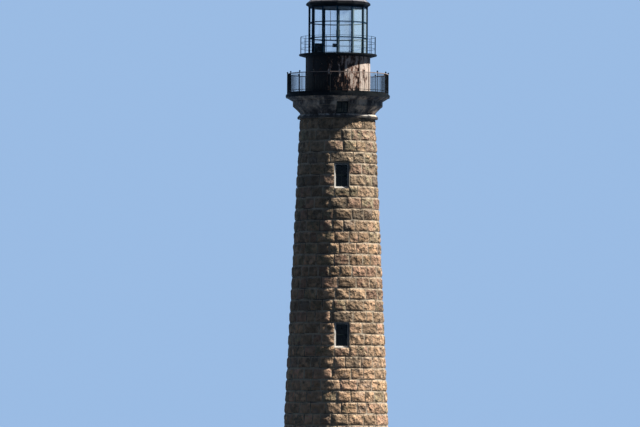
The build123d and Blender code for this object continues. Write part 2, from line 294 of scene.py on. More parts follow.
# %% [markdown]
# ## Rock-faced granite
# The shaft's stones were split off and left rough, and no two have the same colour: buff, tan, brown,
# pinkish, grey and olive. One noise over the whole wall would look like camouflage, so each stone carries
# two random numbers of its own, one that picks its colour along a strip and one for how light it is.
# Over that lie the crystals, soft clouds, a painted highlight on the upper edge and painted shade on the
# lower edge, and smeared lime. The stones are paler towards the foot, and more tan below the upper window
# than above it.

# %% Rock-faced granite
grid_steps = 8  # each stone's face is a grid of 8 by 8, so a rim is one eighth wide
stone_colours = (
    paint(134, 120, 102), paint(188, 162, 132), paint(158, 136, 112), paint(204, 174, 142),
    paint(180, 146, 124), paint(160, 150, 122), paint(198, 166, 132), paint(144, 128, 112),
)
light_crystal, dark_crystal = paint(214, 202, 186), paint(52, 46, 42)
# The second and third colours are painted light: a highlight on each stone's upper edge, shade on its
# lower.
painted_top_highlight, painted_under_shade, smeared_lime = paint(244, 224, 198), paint(56, 46, 40), paint(240, 222, 194)
pale_stretch, tan_stretch, limed_stretch = (9, 15), (17, 23), (15, 19)  # heights where each one fades
tan_share = (1.06, 0.98, 0.93)


def of_stone(tree, label):
    """A random number that every stone carries."""
    return put(tree, "ShaderNodeAttribute", attribute_name=label, out="Fac")


def from_rim(across, up):
    """How many grid steps a spot of a stone's face is in from the nearest side."""
    return across.lesser(1 - across).lesser(up.lesser(1 - up)) * grid_steps


shader, spot = new_finish("granite", "rock_faced_granite", roughness=0.86, specular_ior_level=0.25)
tree = spot.tree
height = spot.parts()[2]
patches = grain(spot, 0.34, 3, 0.55)
breaks = grain(spot, 0.30, 2, 0.4)
colour = strip(of_stone(tree, "stone_tint") + patches.ramp(0.3, 0.7, -0.12, 0.12), *stone_colours)
lightness = of_stone(tree, "stone_shade") * patches.ramp(0.38, 0.60, 0.70, 1.20)
lightness = lightness * runs(spot, 0.5, 1.6).ramp(0.3, 0.7, 0.84, 1.10)
lightness = lightness * breaks.ramp(0.36, 0.62, 0.76, 1.24) * height.ramp(*pale_stretch, 1.64, 1.14)
light = [lightness * height.ramp(*tan_stretch, share, 1) for share in tan_share]
row = {0: 1.0, 6: colour, 7: put(tree, "ShaderNodeCombineColor", light)}
colour = put(tree, "ShaderNodeMix", row, out=2, data_type="RGBA", blend_type="MULTIPLY")
crystals = grain(spot, 0.004, 1, 0.6)
colour = blend(crystals.ramp(0.60, 0.70, 0, 0.5), colour, light_crystal)
colour = blend(crystals.ramp(0.40, 0.30, 0, 0.6), colour, dark_crystal)
across, up, _ = put(tree, "ShaderNodeUVMap", uv_map="stone_uv").parts()
lime = from_rim(across, up).ramp(1.3, 0.5) * grain(spot, 0.12, 4, 0.6).ramp(0.40, 0.54)
# Painted highlight: each stone's upper edge is made paler, where light catches it.
colour = blend(up.ramp(0.76, 0.92, 0, 0.6), colour, painted_top_highlight)
# Painted shade: each stone's lower edge is made darker, where shade falls under its face.
colour = blend(up.ramp(0.26, 0.08, 0, 0.5), colour, painted_under_shade)
colour = blend(lime * height.ramp(*limed_stretch, 0.9, 0.5), colour, smeared_lime)
coat(shader, colour, crystals.ramp(0.3, 0.7, 0.78, 0.94))
relief(shader, breaks + grain(spot, 0.09, 4, 0.6) * 0.3 + crystals * 0.02, 0.40)

# %% [markdown]
# ## Dressed granite
# The cornice, the belt and the gallery's edge are cut from greyer stone and fine dressed. The shaft's
# finish with other colours would do for the stone itself, but not for the weather on it: pale lime bloom,
# dark soot in patches and rusty runs from the iron above. So they have a finish of their own, which the
# floors share. The belt is limed, and its lip is darkened with painted shade.

# %% Dressed granite, mortar and floor stone
dressed_colours = (paint(138, 128, 122), paint(164, 150, 138), paint(114, 106, 102), paint(148, 136, 124))
limed_colours = (paint(200, 194, 184), paint(226, 222, 214), paint(190, 182, 170), paint(216, 208, 196))
floor_colours = (paint(128, 126, 122), paint(142, 138, 132), paint(118, 116, 112))
lime_bloom, soot = paint(250, 230, 208), paint(40, 35, 35)
# The second colour is painted shade for the belt's lip.
rust_run, lip_painted_shade = paint(120, 86, 62), paint(48, 44, 42)
belt_lip = 25.478


def dressed(slot, colours, name=None, shaded_below=None):
    """Fine dressed granite with bloom, soot and rust from above, and a lip darkened with painted shade up
    to a height.
    """
    shader, spot = new_finish(slot, name, roughness=0.8, specular_ior_level=0.3)
    tint = of_stone(spot.tree, "stone_tint")
    clouds = grain(spot, 0.5, 3)
    colour = strip(tint * 0.7 + clouds.ramp(0.25, 0.75, 0, 0.4), *colours)
    crystals = grain(spot, 0.003, 1)
    colour = blend(crystals.ramp(0.42, 0.32, 0, 0.5), colour, paint(70, 68, 68))
    bloom = runs(spot, 0.6, 0.62, 4, 0.6)
    colour = blend(bloom.ramp(0.50, 0.60, 0, 0.9), colour, lime_bloom)
    colour = blend(bloom.ramp(0.48, 0.40, 0, 0.9), colour, soot)
    colour = blend(runs(spot, 0.15, 0.16).ramp(0.66, 0.80, 0, 0.5), colour, rust_run)
    # Painted shade: below that height the lip is darkened.
    if shaded_below:
        edge = spot.parts()[2] + bloom * 0.03
        colour = blend(edge.ramp(shaded_below, shaded_below + 0.02, 0.9, 0), colour, lip_painted_shade)
    coat(shader, colour, crystals.ramp(0.3, 0.7, 0.7, 0.88))
    relief(shader, grain(spot, 0.03, 4, 0.6), 0.006)


dressed("cut_granite", dressed_colours, "dressed_granite")
dressed("limed_granite", limed_colours, shaded_below=belt_lip)
dressed("floor_stone", floor_colours)

shader, spot = new_finish("mortar", "lime_mortar", roughness=0.95)
sand = grain(spot, 0.004)
patches = grain(spot, 0.9, 3)
pale_paint, mid_paint, deep_paint = paint(216, 200, 176), paint(176, 158, 134), paint(84, 74, 64)
colour = strip(patches.ramp(0.40, 0.60), pale_paint, mid_paint, deep_paint)
coat(shader, blend(sand.ramp(0.5, 0.75, 0, 0.4), colour, paint(74, 68, 62)))
relief(shader, sand, 0.003)
print("stone finishes", list(finishes))

# %% [markdown]
# ## Iron
# The galleries and the lantern are cast iron under black paint. Salt air chalks the paint, and rust breaks
# through in freckles and runs. A plain black would look like plastic, so two near shades change over in
# soft clouds. One finish serves most of the iron: between the foot of the glass and the eave it is tinted
# teal, a painted cast of sky light, and the main gallery's rail gets a pale painted highlight.

# %% Painted iron
glass_foot, eave_foot = 29.262, 32.06
rail_foot, rail_head = 28.021, 28.065
# The second colour is a painted highlight for the main gallery's top rail.
tar, rail_highlight = paint(8, 9, 13), paint(178, 160, 150)


def painted_iron(slot, low, high, rust_from, rust_squeeze=0.12, tarred_below=None, of_galleries=False):
    """Iron under worn paint of two near shades, with rust. Some is tarred; the galleries' iron gets painted
    light.
    """
    shader, spot = new_finish(slot, specular_ior_level=0.08)
    height = spot.parts()[2]
    clouds = grain(spot, 0.35, 3)
    freckles = runs(spot, rust_squeeze, 0.05, 4, 0.65)
    rusty = freckles.ramp(rust_from, rust_from + 0.06)
    rust = strip(grain(spot, 0.02, 3), paint(58, 30, 18), paint(112, 62, 34))
    colour = blend(rusty, blend(clouds.ramp(0.3, 0.7), low, high), rust)
    if tarred_below:
        edge = height + clouds * 0.04
        colour = blend(edge.ramp(tarred_below, tarred_below + 0.02, 1, 0), colour, tar)
    if of_galleries:
        # Painted light: a teal cast of sky light through the glass, on the lantern's bars.
        sky_cast = blend(clouds.ramp(0.3, 0.7), paint(16, 40, 58), paint(34, 68, 88))
        colour = blend(height.band(glass_foot, eave_foot, 0.01), colour, sky_cast)
        # Painted highlight: the main gallery's top rail is made pale where light catches it.
        highlight_band = height.band(rail_foot - 0.002, rail_head, 0.002)
        colour = blend(highlight_band * freckles.ramp(0.3, 0.5, 0.6, 0.95), colour, rail_highlight)
    coat(shader, colour, rusty.ramp(0, 1, 0.72, 0.92))
    relief(shader, rusty + grain(spot, 0.006) * 0.3, 0.0015)


roof_tar_head = 32.40
painted_iron("beacon_housing", paint(18, 19, 22), paint(40, 42, 46), 0.80)
painted_iron("box_paint", paint(30, 32, 36), paint(58, 60, 64), 0.74)
painted_iron("small_window_paint", paint(20, 32, 36), paint(36, 48, 50), 0.72)
painted_iron("black_iron", paint(18, 24, 28), paint(42, 46, 48), 0.66, of_galleries=True)
painted_iron("roof_paint", paint(128, 128, 136), paint(166, 165, 170), 0.70, 0.5, roof_tar_head)

# %% [markdown]
# ## The watch room's paint
# Black paint has peeled off the weather side and bares a cream undercoat and brown rust, plate by plate:
# the plate that faces the light is almost all cream, the next is half rust, and the rest is still black.
# One noise for the whole room would peel it evenly. So each of the twelve plates has its own share of
# bare undercoat, read from its place around the room, and noise decides where each flake lies.

# %% Peeling paint on the watch room
plate_count, plate_radius = 12, 1.94
plate_turn, plate_width = math.radians(4.7), full_turn / plate_count
bare_share = (0.56, 0.78, 0.78, 0.62, 0.40, 0.22, 0.16, 0.12, 0.10, 0.16, 0.24, 0.45)  # front, and round

shader, spot = new_finish("watch_room_paint", specular_ior_level=0.12)
east, north, _ = spot.parts()
plate = ((east.sum("ARCTAN2", north * -1) - plate_turn) / plate_width).sum("WRAP", plate_count, 0)
share = strip((plate.sum("FLOOR") + 0.5) / plate_count, *[(v, v, v, 1) for v in bare_share])
ramp = share.socket.node.color_ramp
ramp.interpolation = "CONSTANT"
for n, stop in enumerate(ramp.elements):
    stop.position = n / plate_count
along = plate.sum("FRACT")
seam = along.lesser(1 - along) * (plate_width * plate_radius)
proud = distance(east, north).ramp(plate_radius + 0.004, plate_radius + 0.008)
flakes, fine_flakes = runs(spot, 0.55, 0.42, 5, 0.66), runs(spot, 0.3, 0.06, 4, 0.6)
streaks = runs(spot, 0.12, 0.12, 4, 0.6)
level = share + (flakes - 0.5) * 1.5 + (fine_flakes - 0.5) * 0.35
bared = level.ramp(0.47, 0.53) * proud.ramp(0, 1, 1, 0.25)
rusted = level.ramp(0.64, 0.55) * seam.ramp(0.03, 0.12, 1, 0.8)
rusted = rusted.greater(streaks.ramp(0.56, 0.62))
cream = strip(streaks, paint(218, 180, 158), paint(250, 232, 218), paint(255, 250, 244))
rust = strip(fine_flakes, paint(54, 30, 22), paint(120, 72, 50), paint(166, 116, 88))
black = blend(grain(spot, 0.4, 3).ramp(0.4, 0.7), paint(12, 12, 14), paint(28, 24, 26))
black = blend(grain(spot, 0.16, 4, 0.65).ramp(0.58, 0.64, 0, 0.7), black, paint(74, 50, 44))
strip_iron = blend(streaks.ramp(0.4, 0.6), paint(34, 26, 24), paint(104, 84, 76))
colour = blend(bared, black, blend(rusted, cream, rust))
coat(shader, blend(proud * 0.8, colour, strip_iron), bared.ramp(0, 1, 0.62, 0.86))
relief(shader, bared * -0.5 + rusted * 0.3 + fine_flakes * 0.2, 0.004)
print("with iron", list(finishes))

# %% [markdown]
# ## Wood, glass and bright metal
# The window frames are white painted wood, worn bare in places, with painted shade on the faces under the
# heads and on those that look away from the light. The entrance is dark boards. The glass is thin, and
# glass that only tints a little could be made with Transmission, but Alpha is the plainer way: lamps and
# sight pass through it, and dust adds to it.

# %% Window paint, door paint, rod metal
shader, spot = new_finish("window_paint", roughness=0.6)
worn = runs(spot, 0.25, 0.06, 4, 0.6)
wood = strip(runs(spot, 0.08, 0.01), paint(120, 104, 84), paint(150, 134, 110))
white = strip(grain(spot, 0.3), paint(222, 216, 204), paint(242, 238, 230))
facing_east, _, facing_up = put(spot.tree, "ShaderNodeNewGeometry", out="Normal").parts()
# Painted shade: faces that look down or away from the key lamp are darkened.
painted_shade_faces = facing_up.ramp(-0.2, -0.5).greater(facing_east.ramp(-0.3, -0.5))
colour = blend(worn.ramp(0.58, 0.64), white, wood)
coat(shader, blend(painted_shade_faces * 0.92, colour, paint(36, 32, 30)))
relief(shader, worn, 0.002)

shader, spot = new_finish("door_paint", roughness=0.55)
boards = strip(runs(spot, 0.2, 0.2), paint(52, 34, 24), paint(84, 56, 38))
scuffs = grain(spot, 0.12, 4, 0.65).ramp(0.62, 0.70, 0, 0.6)
coat(shader, blend(scuffs, boards, paint(124, 104, 84)))
relief(shader, runs(spot, 0.04, 0.008, 3), 0.002)

shader, spot = new_finish("rod_metal", metallic=0.8)
dull = runs(spot, 0.2, 0.03, 3)
metal = strip(dull, paint(120, 122, 126), paint(176, 178, 182))
coat(shader, metal, dull.ramp(0.3, 0.7, 0.35, 0.6))
relief(shader, dull, 0.0005)

# %% Glass
# Salt and a painted glare make the panes paler on this side, which faces the key lamp.
salt_and_glare_east, salt_and_glare_north = 0.6, -0.8  # the way the wind brings the salt from, as seen from the axis
cornice_glass_foot = 25.0


def glass(slot, clean, dust, least, most, rough, gloss=0.6, milky_above=None, salt_and_glare=0.0):
    """A thin pane: its tint, how much of it stops sight, where it is milky, and salt with painted glare on
    one side.
    """
    shader, spot = new_finish(slot, roughness=rough, specular_ior_level=gloss)
    east, north, height = spot.parts()
    film = runs(spot, 0.4, 0.30, 4, 0.6).ramp(0.42, 0.72)
    colour = blend(film, clean, dust)
    if milky_above:
        streaks = runs(spot, 0.3, 0.16, 3).ramp(0.42, 0.56, 0.2, 1)
        milk = streaks * height.ramp(milky_above, milky_above + 0.01)
        colour = blend(milk, colour, paint(112, 112, 96))
    coat(shader, colour)
    haze = film.ramp(0, 1, least, most)
    # Partly painted light: the haze thickens toward the lit side and brightens those panes.
    if salt_and_glare:
        out = east * salt_and_glare_east + north * salt_and_glare_north
        haze = haze + out.ramp(0.9, 1.6, 0, salt_and_glare) * film.ramp(0, 1, 0.7, 1.0)
    feed(shader.inputs["Alpha"], haze)
    relief(shader, grain(spot, 0.5, 1), 0.002)


glass("lantern_glass", paint(214, 246, 250), paint(216, 240, 254), 0.02, 0.07, 0.06, salt_and_glare=0.22)
# The shaft's panes are near black and nearly opaque: painted shade of the dark rooms behind them.
glass("window_glass", paint(4, 5, 6), paint(14, 15, 15), 0.94, 0.99, 0.20, 0.15, cornice_glass_foot)

# %% [markdown]
# ## Every part its finish
# The record says which material slot each part of the tower belongs to. The parts could be painted one
# by one, but a loop over the record paints them all and leaves none out.

# %% Paint the CAD parts
for part in subparts:
    for holder in nodes[part["node"]].material_slots:
        holder.material = finishes[part["material_slot"]]
print("painted", len(subparts), "parts with", len(finishes), "finishes")

# %% [markdown]
# ## How the stones are made
# The real stones were split, squared at their edges and left rough in front. Each could be sculpted, or
# the wall could be one surface with a bump, but the first takes for ever and the second has no outline.
# So the wall is first drawn flat, as a mason would draw it unrolled: one quad for each stone, with the
# angle around the tower as its width and the height as it is. Geometry Nodes then cut each quad into a
# small grid, pull the outer rows to its margins, wrap it round the wall, swell its face like split rock,
# and fold its edges back into the joint. One rule makes every stone, and noise makes each one different.


# %% A bed of stones, drawn flat
def plain_mesh(name, corners, edges=(), faces=()):
    """A mesh from its corners, edges and faces."""
    mesh = bpy.data.meshes.new(name)
    mesh.from_pydata(corners, edges, faces)
    return mesh


def stone_bed(name, stones):
    """One quad for each stone, with its place, its size, its swell and its random numbers on the face."""
    corners, quads, tint, shade = [], [], [], []
    vectors = {"stone_corner": [], "stone_span": [], "stone_size": [], "stone_tilt": []}
    for start, end, low, high, radius, swell in stones:
        quads.append(list(range(len(corners), len(corners) + 4)))
        corners += [(start, 0, low), (end, 0, low), (end, 0, high), (start, 0, high)]
        noise_seed = chance.uniform(0, 90)
        vectors["stone_corner"] += [start, low, swell]
        vectors["stone_span"] += [end - start, high - low, noise_seed]
        vectors["stone_size"] += [(end - start) * radius, high - low, 0]
        vectors["stone_tilt"] += [chance.uniform(-1, 1), chance.uniform(-1, 0.6), 0]
        tint.append(chance.random())
        shade.append(chance.triangular(0.66, 1.26, 1.0))
    mesh = plain_mesh(name, corners, faces=quads)
    flat = mesh.uv_layers.new(name="stone_uv")
    flat.data.foreach_set("uv", [0, 0, 1, 0, 1, 1, 0, 1] * len(stones))
    for label, values in vectors.items():
        mesh.attributes.new(label, "FLOAT_VECTOR", "FACE").data.foreach_set("vector", values)
    for label, values in (("stone_tint", tint), ("stone_shade", shade)):
        mesh.attributes.new(label, "FLOAT", "FACE").data.foreach_set("value", values)
    return mesh


# %% How a tree starts and ends
def open_tree(name, sizes):
    """A tree that takes a start mesh, named sizes and a finish. Gives the tree and its inputs."""
    tree = bpy.data.node_groups.new(name, "GeometryNodeTree")
    kinds = {"Start": "NodeSocketGeometry"}
    kinds.update(dict.fromkeys(sizes, "NodeSocketFloat"), Finish="NodeSocketMaterial")
    for label, kind in kinds.items():
        tree.interface.new_socket(name=label, in_out="INPUT", socket_type=kind)
    tree.interface.new_socket(name="Made", in_out="OUTPUT", socket_type="NodeSocketGeometry")
    start = tree.nodes.new("NodeGroupInput")
    return tree, {socket.name: Wire(tree, socket) for socket in start.outputs if socket.name}


def close_tree(tree, made, finish):
    """Make what stands on points real, because the export drops instances, and set the finish."""
    made = put(tree, "GeometryNodeRealizeInstances", [made])
    row = {"Geometry": made, "Material": finish}
    put(tree, "NodeGroupOutput", [put(tree, "GeometryNodeSetMaterial", row)])
    return tree


# %% The tree that shapes stones on a wall
stone_sizes = (
    "Margin", "Set back", "Edge rise", "Tilt", "Roughness", "Scoops", "Lump size", "Joint depth", "Furthest"
)
most_hollow, most_swollen = -0.002, 0.052
margin_grit = 0.12  # the share of the lumps that the margins have too


def stone_tree(name, outline):
    """Nodes that shape a flat bed of stones on a round wall with an outline of height and radius."""
    tree, given = open_tree(name, stone_sizes)

    def stored(label):
        row = {"Name": label}
        return put(tree, "GeometryNodeInputNamedAttribute", row, data_type="FLOAT_VECTOR").parts()

    across, up, _ = stored("stone_uv")
    first_angle, first_height, swell = stored("stone_corner")
    angle_span, height_span, seed = stored("stone_span")
    length, height, _ = stored("stone_size")
    tilt_across, tilt_up, _ = stored("stone_tilt")

    def drawn(share, size):
        """The grid's share across a stone, with its first and last step as wide as the margin."""
        rim, step = given["Margin"] / size, 1 / grid_steps
        inside = share.ramp(step, 1 - step, 0, 1 - rim * 2)
        return share.ramp(0, step, 0, rim) + inside + share.ramp(1 - step, 1, 0, rim)

    angle = first_angle + angle_span * drawn(across, length)
    level = first_height + height_span * drawn(up, height)
    radius = outline[0][1] + level * 0
    for (low, inner), (high, outer) in zip(outline, outline[1:]):
        radius = radius + level.ramp(low, high, 0, outer - inner)

    rings = from_rim(across, up)
    face = rings.ramp(0, 1)
    belly = rings.ramp(0.7, 1.8)
    where = put(tree, "ShaderNodeCombineXYZ", [angle * radius, level, seed])
    row = {"Vector": where, "W": seed, "Scale": 1 / given["Lump size"], "Detail": 3}
    lumps = (put(tree, "ShaderNodeTexNoise", row, noise_dimensions="4D") - 0.5) * given["Roughness"]
    row = {"Vector": where, "W": seed, "Scale": 0.6 / given["Lump size"]}
    scoops = (put(tree, "ShaderNodeTexVoronoi", row, voronoi_dimensions="4D") - 0.4) * given["Scoops"]
    leaning = (tilt_across * (across - 0.5) + tilt_up * (up - 0.5)) * given["Tilt"]
    bulge = (swell + leaning + lumps + scoops).greater(most_hollow).lesser(most_swollen)
    stand_out = face * (given["Set back"] + given["Edge rise"]) - given["Set back"]
    stand_out = stand_out + belly * bulge + face * lumps * margin_grit
    reach = (radius + stand_out).lesser(given["Furthest"])

    cut = put(tree, "GeometryNodeSubdivideMesh", [given["Start"], 3])
    wrapped = [reach * angle.sum("SINE"), reach * angle.sum("COSINE") * -1, level]
    spot = put(tree, "ShaderNodeCombineXYZ", wrapped)
    stones = put(tree, "GeometryNodeSetPosition", {"Geometry": cut, "Position": spot})
    rim = put(tree, "GeometryNodeInputMeshEdgeNeighbors").sum("LESS_THAN", 1.5)
    row = {"Mesh": stones, "Selection": rim, "Offset Scale": 0.0}
    folded = put(tree, "GeometryNodeExtrudeMesh", row, mode="EDGES")
    new_edge = Wire(tree, folded.socket.node.outputs["Top"])
    east, north, high = put(tree, "GeometryNodeInputPosition").parts()
    inward = 1 - given["Joint depth"] / distance(east, north)
    spot = put(tree, "ShaderNodeCombineXYZ", [east * inward, north * inward, high])
    row = {"Geometry": folded, "Selection": new_edge, "Position": spot}
    return close_tree(tree, put(tree, "GeometryNodeSetPosition", row), given["Finish"])


# %% From a start mesh through a tree to a plain piece
crease_angle = math.radians(40)
record_slots = {part["material_slot"] for part in subparts}


def grown(name, start, tree, slot, crease=crease_angle, **sizes):
    """Run a tree on a start mesh, keep the result as a plain mesh and give it to the tower's body."""
    piece = stood(name, start)
    worked = piece.modifiers.new("grow", "NODES")
    worked.node_group = tree
    sizes["Finish"] = finishes[slot]
    for item in tree.interface.items_tree:
        if item.in_out == "INPUT" and item.name in sizes:
            worked[item.identifier] = sizes[item.name]
    graph = bpy.context.evaluated_depsgraph_get()
    made = bpy.data.meshes.new_from_object(
        piece.evaluated_get(graph), preserve_all_data_layers=True, depsgraph=graph
    )
    piece.modifiers.clear()
    piece.data = made
    return finished(piece, slot, crease)


def finished(piece, slot, crease=crease_angle):
    """Smooth faces with sharp creases, the slot's material if it has none, and its body."""
    mesh = piece.data
    if not mesh.materials:
        mesh.materials.append(finishes[slot])
    mesh.shade_smooth()
    mesh.set_sharp_from_angle(angle=crease)
    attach(piece, "root")
    slot in record_slots
    triangles = sum(len(face.vertices) - 2 for face in mesh.polygons)
    print(piece.name, "triangles", triangles)
    return piece


def poured(name, shape):
    """A bmesh that is done, turned into an object."""
    mesh = bpy.data.meshes.new(name)
    shape.to_mesh(mesh)
    shape.free()
    return stood(name, mesh)


# %% [markdown]
# ## Laying the courses
# A course is one ring of stones, 0.68 m high on the shaft. Stones of one length laid in half bond would
# be easy, but the real ones differ in length. So upright joints fall where a random draw puts them, and
# of many draws the one that keeps furthest from the joints of the course below is laid, because a joint
# above a joint would split the wall. At a window the course stops on both sides, one stone bridges it as
# the lintel, and one lies under it.

# %% Sizes of the shaft, as the solids have them
course, joint = 0.68, 0.016
shaft_foot, shaft_head = 0.86, 25.34
storey_levels = (shaft_foot, 10.38, 19.90, shaft_head)
shaft_outline = ((0.0, 3.445), (shaft_head, 2.262))
mean_stone, lintel_lap = 0.86, 0.24
held_back = 0.3  # the share of the swell that a lintel or a sill gets
print("courses of the shaft", round((shaft_head - shaft_foot) / course))


def shaft_radius(height):
    """Radius of the shaft's face at a height."""
    (_, foot), (head_height, head) = shaft_outline
    return foot + (head - foot) * height / head_height


# %% Fill an arc, lay a course, build a ring of courses
def apart(one, other):
    """How far two angles are from each other around the tower."""
    return abs((one - other + math.pi) % full_turn - math.pi)


def fill_arc(start, end, radius, below, stone, tries=60):
    """Joints of an arc of stones of uneven lengths, the draw that keeps furthest from those below."""
    count = max(1, round((end - start) * radius / stone))
    best, best_gap = None, -1.0
    for _ in range(tries):
        lengths = [chance.uniform(0.6, 1.4) for _ in range(count)]
        joints = [start]
        for length in lengths:
            joints.append(joints[-1] + (end - start) * length / sum(lengths))
        gap = min([apart(a, b) for a in joints[1:-1] for b in below], default=1.0)
        if gap > best_gap:
            best, best_gap = joints, gap
    return best


def lay_course(low, high, radius, stone, gaps, below, swell):
    """One course of stones around the gaps. A gap is its two angles and what stones stand in it."""
    stones, arcs = [], []
    if gaps:
        gaps = sorted(gaps)
        for gap, following in zip(gaps, gaps[1:] + [(gaps[0][0] + full_turn,)]):
            arcs.append((gap[1], following[0]))
            stones += [(gap[0], gap[1], foot, head, held_back) for foot, head in gap[2]]
    else:
        start = chance.uniform(0, full_turn)
        arcs.append((start, start + full_turn))
    joints = []
    for start, end in arcs:
        found = fill_arc(start, end, radius, below, stone)
        joints += found
        stones += [(a, b, low, high, 1.0) for a, b in zip(found, found[1:])]
    half = joint / 2
    laid = [
        (a + half / radius, b - half / radius, z0 + half, z1 - half, radius, swell() * share)
        for a, b, z0, z1, share in stones
    ]
    return laid, joints


def gaps_at(low, high, openings, radius):
    """The gaps that openings make in a course: nothing in them, a lintel above, or a sill below."""
    found = []
    for angle, half_width, foot, head in openings:
        half = math.asin(half_width / radius)
        wide = math.asin((half_width + lintel_lap) / radius)
        if abs(low - head) < joint:
            found.append((angle - wide, angle + wide, [(low, high)]))
        elif low < foot < high:
            found.append((angle - half, angle + half, [(low, foot)]))
        elif low < head and high > foot:
            found.append((angle - half, angle + half, [(head, high)] if head < high - joint else []))
    return found


def built(name, tree, slot, rock, courses, openings, swell, below=()):
    """A piece of courses, each its foot, its head, its radius and its stones' mean length, in metres."""
    bed = []
    for low, high, radius, stone in courses:
        gaps = gaps_at(low, high, openings, radius)
        laid, below = lay_course(low, high, radius, stone, gaps, below, swell)
        bed += laid
    return grown(name, stone_bed(name, bed), tree, slot, **rock), below


# %% [markdown]
# ## The wall behind the stones
# The joints need something to end on. A plain tube behind the stones would close the windows, so a copy
# of each CAD wall is merged and its outer face drawn in by a few centimetres. It shows as mortar between
# the stones and as the dressed sides of the openings.

# %% The mortar core
hair, near_face = 1e-4, 0.004


def mortar_core(name, parts, outline, drawn_in, slot="cut_granite"):
    """A merged copy of CAD parts with the outer face drawn in behind the stones."""
    shape = bmesh.new()
    for part in parts:
        shape.from_mesh(nodes[part].data)
    bmesh.ops.remove_doubles(shape, verts=shape.verts, dist=hair)

    def face_radius(height):
        for (low, inner), (high, outer) in zip(outline, outline[1:]):
            if height <= high + hair:
                return inner + (outer - inner) * max(0.0, (height - low) / (high - low))
        return outline[-1][1]

    outer = set()
    for corner in shape.verts:
        radius = math.hypot(corner.co.x, corner.co.y)
        if radius > face_radius(corner.co.z) - near_face:
            outer.add(corner)
            corner.co.x *= (radius - drawn_in) / radius
            corner.co.y *= (radius - drawn_in) / radius
    for face in shape.faces:
        level = abs(face.normal.z) > 0.9
        face.material_index = int(not level and all(corner in outer for corner in face.verts))
    piece = poured(name, shape)
    piece.data.materials.append(finishes[slot])
    piece.data.materials.append(finishes["mortar"])
    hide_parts(*parts)
    return finished(piece, slot)


# %% Stones of the shaft, storey by storey
window_half, window_levels = 0.45, ((11.60, 13.10), (21.12, 22.62))
entrance_half, entrance_sill, entrance_lintel = 0.475, 0.20, 2.22
shaft_openings = [
    (angle, window_half, foot, head) for angle in (0, math.pi) for foot, head in window_levels
]
shaft_openings.append((0, entrance_half, entrance_sill, entrance_lintel))
shaft_tree = stone_tree("shaft_stones", shaft_outline)
rock = {
    "Margin": 0.032, "Set back": 0.046, "Edge rise": -0.020, "Tilt": 0.09, "Roughness": 0.24,
    "Scoops": 0.12, "Lump size": 0.38, "Joint depth": 0.05, "Furthest": 9.0,
}
mortar_depth = 0.028


def shaft_swell():
    """How far the middle of a shaft stone stands out, in metres."""
    return chance.uniform(-0.012, 0.030)


below = []
for name, foot, head in zip(("lower", "middle", "upper"), storey_levels, storey_levels[1:]):
    levels = [foot + n * course for n in range(round((head - foot) / course))]
    courses = [(low, low + course, shaft_radius(low + course / 2), mean_stone) for low in levels]
    row = (shaft_tree, "granite", rock, courses, shaft_openings, shaft_swell, below)
    _, below = built(f"shaft_{name}_stones", *row)
    sides = [f"shaft_{name}_left", f"shaft_{name}_right"]
    mortar_core(f"shaft_{name}_core", sides, shaft_outline, mortar_depth)
mortar_core("opening_reveals", ["jamb_stones", "lintel_and_sill_stones"], shaft_outline, mortar_depth)

# %% Stones of the base course
base_radius, base_bevel_foot, base_bevel, base_wall = 3.68, 0.77, 0.09, 0.02
base_outline = ((0.0, base_radius), (base_bevel_foot, base_radius), (shaft_foot, base_radius - base_bevel))
base_wall_outline = [(height, radius + base_wall) for height, radius in base_outline]
base_rock = dict(rock, Furthest=3.699, Roughness=0.05, Scoops=0.02, Tilt=0.02)
base_courses = [(0.0, shaft_foot, base_radius, 1.25)]
base_core_depth = 0.09


def base_swell():
    """How far the middle of a base stone stands out, in metres."""
    return chance.uniform(0.03, 0.05)


base_tree = stone_tree("plinth_stones", base_outline)
built("plinth_face_stones", base_tree, "granite", base_rock, base_courses, shaft_openings, base_swell)
mortar_core("plinth_core", ["plinth"], base_wall_outline, base_core_depth)

# %% [markdown]
# ## Windows
# Each shaft window has a pale casing whose face slopes in to the glass, so its left and its bottom catch
# the light and the other two sides stay dark. Behind it stand two dark sashes with one bar each. Frames
# cut out of boxes would have no mitres, and these have four each, so one function sweeps a small profile
# around a rectangle. What is drawn at the front is then copied around the tower.


# %% A mitred frame, planed bars, and copies around the tower
def joined(shape, one, other):
    """Faces between two rings of corners."""
    for corners in zip(one, other, other[1:] + other[:1], one[1:] + one[:1]):
        shape.faces.new(corners)


def mitred(shape, half, low, high, front, profile):
    """A profile of (distance in from the edge, depth behind the front) swept around an upright opening."""
    corners = ((-half, low, 1, 1), (half, low, -1, 1), (half, high, -1, -1), (-half, high, 1, -1))
    rings = [
        [shape.verts.new((x + right * inset, front + depth, z + up * inset)) for inset, depth in profile]
        for x, z, right, up in corners
    ]
    for one, other in zip(rings, rings[1:] + rings[:1]):
        joined(shape, one, other)


def bars(shape, face, *rows):
    """Bars at a face's distance from the axis, each a row of left, right, low, high, its front and its
    rear behind the face, and how much of its two long front edges is planed off."""
    for left, right, low, high, front, rear, edge in rows:
        front, rear = front - face, rear - face
        upright = high - low > right - left
        half = (right - left if upright else high - low) / 2
        section = [
            (-half, rear), (half, rear), (half, front + edge),
            (half - edge, front), (edge - half, front), (-half, front + edge),
        ]
        ends = []
        for x, z in ((left, low), (right, high)):
            if upright:
                end = [((left + right) / 2 + a, y, z) for a, y in section]
            else:
                end = [(x, y, (low + high) / 2 - a) for a, y in section]
            ends.append([shape.verts.new(corner) for corner in end])
            shape.faces.new(ends[-1])
        joined(shape, *ends)


